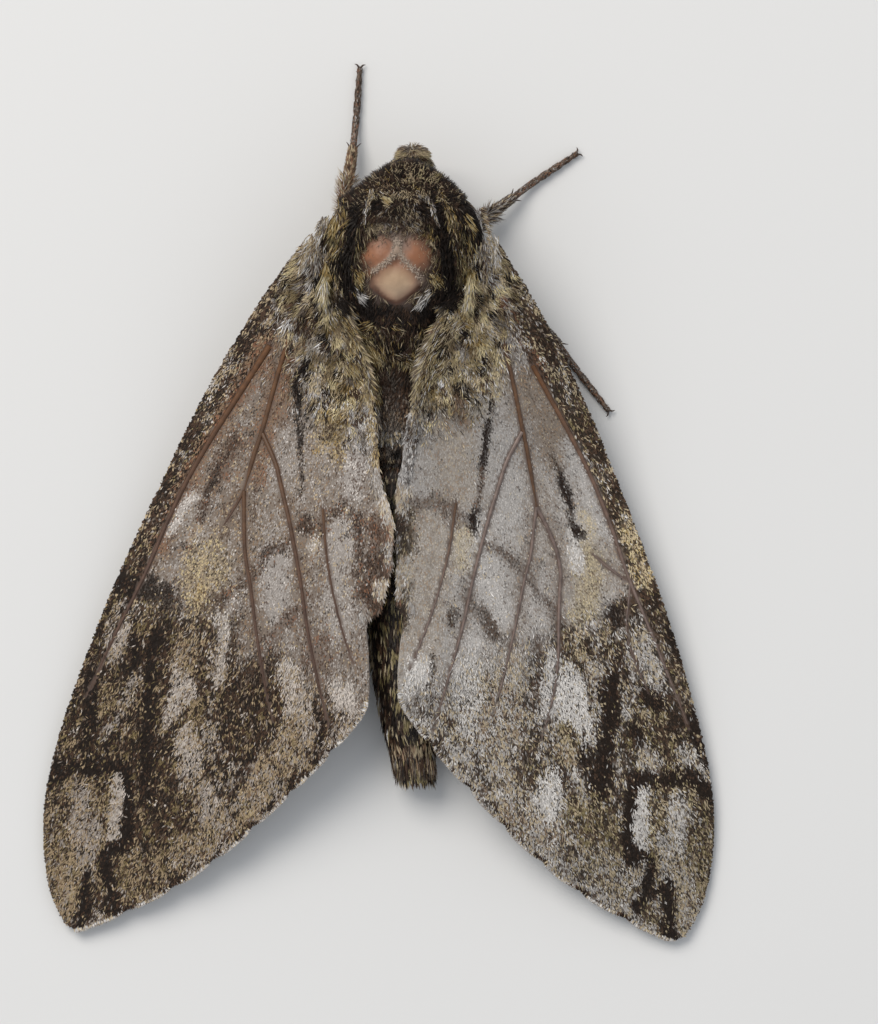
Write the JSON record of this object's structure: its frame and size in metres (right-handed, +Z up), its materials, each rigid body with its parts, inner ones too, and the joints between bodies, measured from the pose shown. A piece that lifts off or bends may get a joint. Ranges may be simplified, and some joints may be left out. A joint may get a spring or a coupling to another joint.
{
  "type": "hawk moth",
  "caption": "Life-size hawk moth at rest, wings folded back like a low roof over the body, standing on its feet.",
  "frame": {"origin": "on the floor, under the middle of the whole moth's length and width", "axes": "+Y towards the head, +Z up, +X towards the moth's right side"},
  "size_m": [0.0564, 0.0738, 0.0133],
  "materials": {
    "body_hair": "long matt hair in brown, black, cream and white over smooth skin",
    "wing_scales": "matt speckled scales in grey, brown, cream and white",
    "legs_and_feelers": "fine scales over dull shell",
    "eyes": "smooth and dark"
  },
  "bodies": {
    "root": {"abdomen_1": "body_hair", "abdomen_2": "body_hair", "abdomen_3": "body_hair", "abdomen_4": "body_hair", "abdomen_5": "body_hair", "abdomen_6": "body_hair", "abdomen_7": "body_hair", "abdomen_8": "body_hair", "antenna_left": "legs_and_feelers", "antenna_right": "legs_and_feelers", "collar": "body_hair", "eye_left": "eyes", "eye_right": "eyes", "foreleg_left_femur": "legs_and_feelers", "foreleg_left_tarsus": "legs_and_feelers", "foreleg_left_tibia": "legs_and_feelers", "foreleg_right_femur": "legs_and_feelers", "foreleg_right_tarsus": "legs_and_feelers", "foreleg_right_tibia": "legs_and_feelers", "forewing_left": "wing_scales", "forewing_right": "wing_scales", "head": "body_hair", "hindleg_left_femur": "legs_and_feelers", "hindleg_left_tarsus": "legs_and_feelers", "hindleg_left_tibia": "legs_and_feelers", "hindleg_right_femur": "legs_and_feelers", "hindleg_right_tarsus": "legs_and_feelers", "hindleg_right_tibia": "legs_and_feelers", "hindwing_left": "wing_scales", "hindwing_right": "wing_scales", "midleg_left_femur": "legs_and_feelers", "midleg_left_tarsus": "legs_and_feelers", "midleg_left_tibia": "legs_and_feelers", "midleg_right_femur": "legs_and_feelers", "midleg_right_tarsus": "legs_and_feelers", "midleg_right_tibia": "legs_and_feelers", "palp_left": "body_hair", "palp_right": "body_hair", "tail_brush": "body_hair", "tegula_left": "body_hair", "tegula_right": "body_hair", "thorax": "body_hair"}
  },
  "joints": []
}
